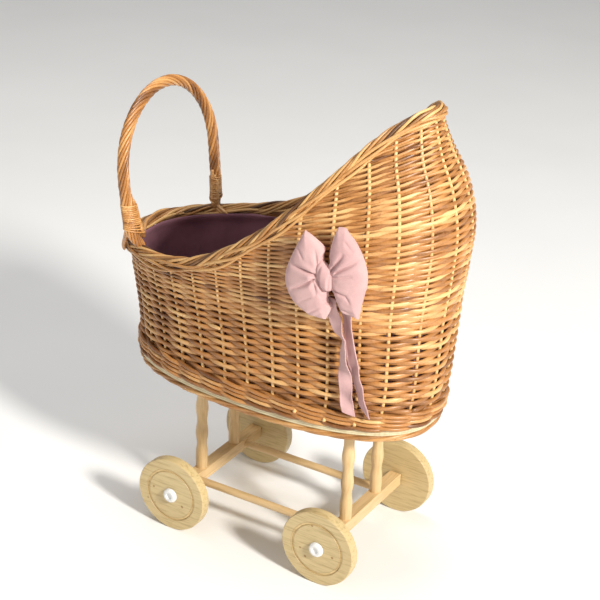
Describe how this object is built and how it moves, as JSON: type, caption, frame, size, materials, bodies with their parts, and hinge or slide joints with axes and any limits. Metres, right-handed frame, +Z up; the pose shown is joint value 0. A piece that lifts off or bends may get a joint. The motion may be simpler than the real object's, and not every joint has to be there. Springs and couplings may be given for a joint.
{
  "type": "doll stroller",
  "caption": "Woven willow doll stroller: hooded basket with arched handle, lining and bow, on a turned wooden chassis with disc wheels.",
  "frame": {"origin": "on the floor, at the middle of the wheelbase and of the basket's width", "axes": "+X towards the hood (head end), +Z up, -Y the side that carries the bow"},
  "size_m": [0.464, 0.2721, 0.6063],
  "materials": {
    "wheel_wood": "clear-coated pine, fine grain",
    "chassis_wood": "clear-coated pine, fine grain",
    "plywood": "sanded birch ply edge",
    "wicker": "peeled willow rods under clear varnish",
    "wicker_border": "braided peeled willow rods under clear varnish",
    "willow_handle": "twisted peeled willow under clear varnish",
    "bow_fabric": "dusty pink brushed cotton",
    "lining_fabric": "dusty pink brushed cotton",
    "white_plastic": "white moulded plastic",
    "steel": "zinc-plated"
  },
  "bodies": {
    "frame_and_basket": {"axle_washers": "steel", "base_board": "plywood", "bottom_wale": "wicker", "bow_knot": "bow_fabric", "bow_loop_foot_side": "bow_fabric", "bow_loop_head_side": "bow_fabric", "bow_tail_foot_side": "bow_fabric", "bow_tail_head_side": "bow_fabric", "foot_beam": "chassis_wood", "foot_border": "wicker_border", "handle": "willow_handle", "handle_binding_far": "willow_handle", "handle_binding_near": "willow_handle", "handle_insert_far": "willow_handle", "handle_insert_near": "willow_handle", "head_beam": "chassis_wood", "hood_weave": "wicker", "hub_cap_foot_far": "white_plastic", "hub_cap_foot_near": "white_plastic", "hub_cap_head_far": "white_plastic", "hub_cap_head_near": "white_plastic", "lining": "lining_fabric", "lower_weave": "wicker", "mattress": "lining_fabric", "post_foot_far": "chassis_wood", "post_foot_near": "chassis_wood", "post_head_far": "chassis_wood", "post_head_near": "chassis_wood", "post_screws": "steel", "rail_far": "chassis_wood", "rail_near": "chassis_wood", "rim_border": "wicker_border", "wheel_pin_foot_far": "steel", "wheel_pin_foot_near": "steel", "wheel_pin_head_far": "steel", "wheel_pin_head_near": "steel"},
    "wheel_foot_near": {"wheel_foot_near": "wheel_wood"},
    "wheel_foot_far": {"wheel_foot_far": "wheel_wood"},
    "wheel_head_near": {"wheel_head_near": "wheel_wood"},
    "wheel_head_far": {"wheel_head_far": "wheel_wood"}
  },
  "joints": [
    {"name": "wheel_foot_near_spin", "type": "hinge", "parent": "frame_and_basket", "child": "wheel_foot_near", "pos_m": [-0.109, -0.1014, 0.05], "axis": [0, 1, 0], "continuous": true},
    {"name": "wheel_foot_far_spin", "type": "hinge", "parent": "frame_and_basket", "child": "wheel_foot_far", "pos_m": [-0.109, 0.1014, 0.05], "axis": [0, 1, 0], "continuous": true},
    {"name": "wheel_head_near_spin", "type": "hinge", "parent": "frame_and_basket", "child": "wheel_head_near", "pos_m": [0.109, -0.1014, 0.05], "axis": [0, 1, 0], "continuous": true},
    {"name": "wheel_head_far_spin", "type": "hinge", "parent": "frame_and_basket", "child": "wheel_head_far", "pos_m": [0.109, 0.1014, 0.05], "axis": [0, 1, 0], "continuous": true}
  ]
}
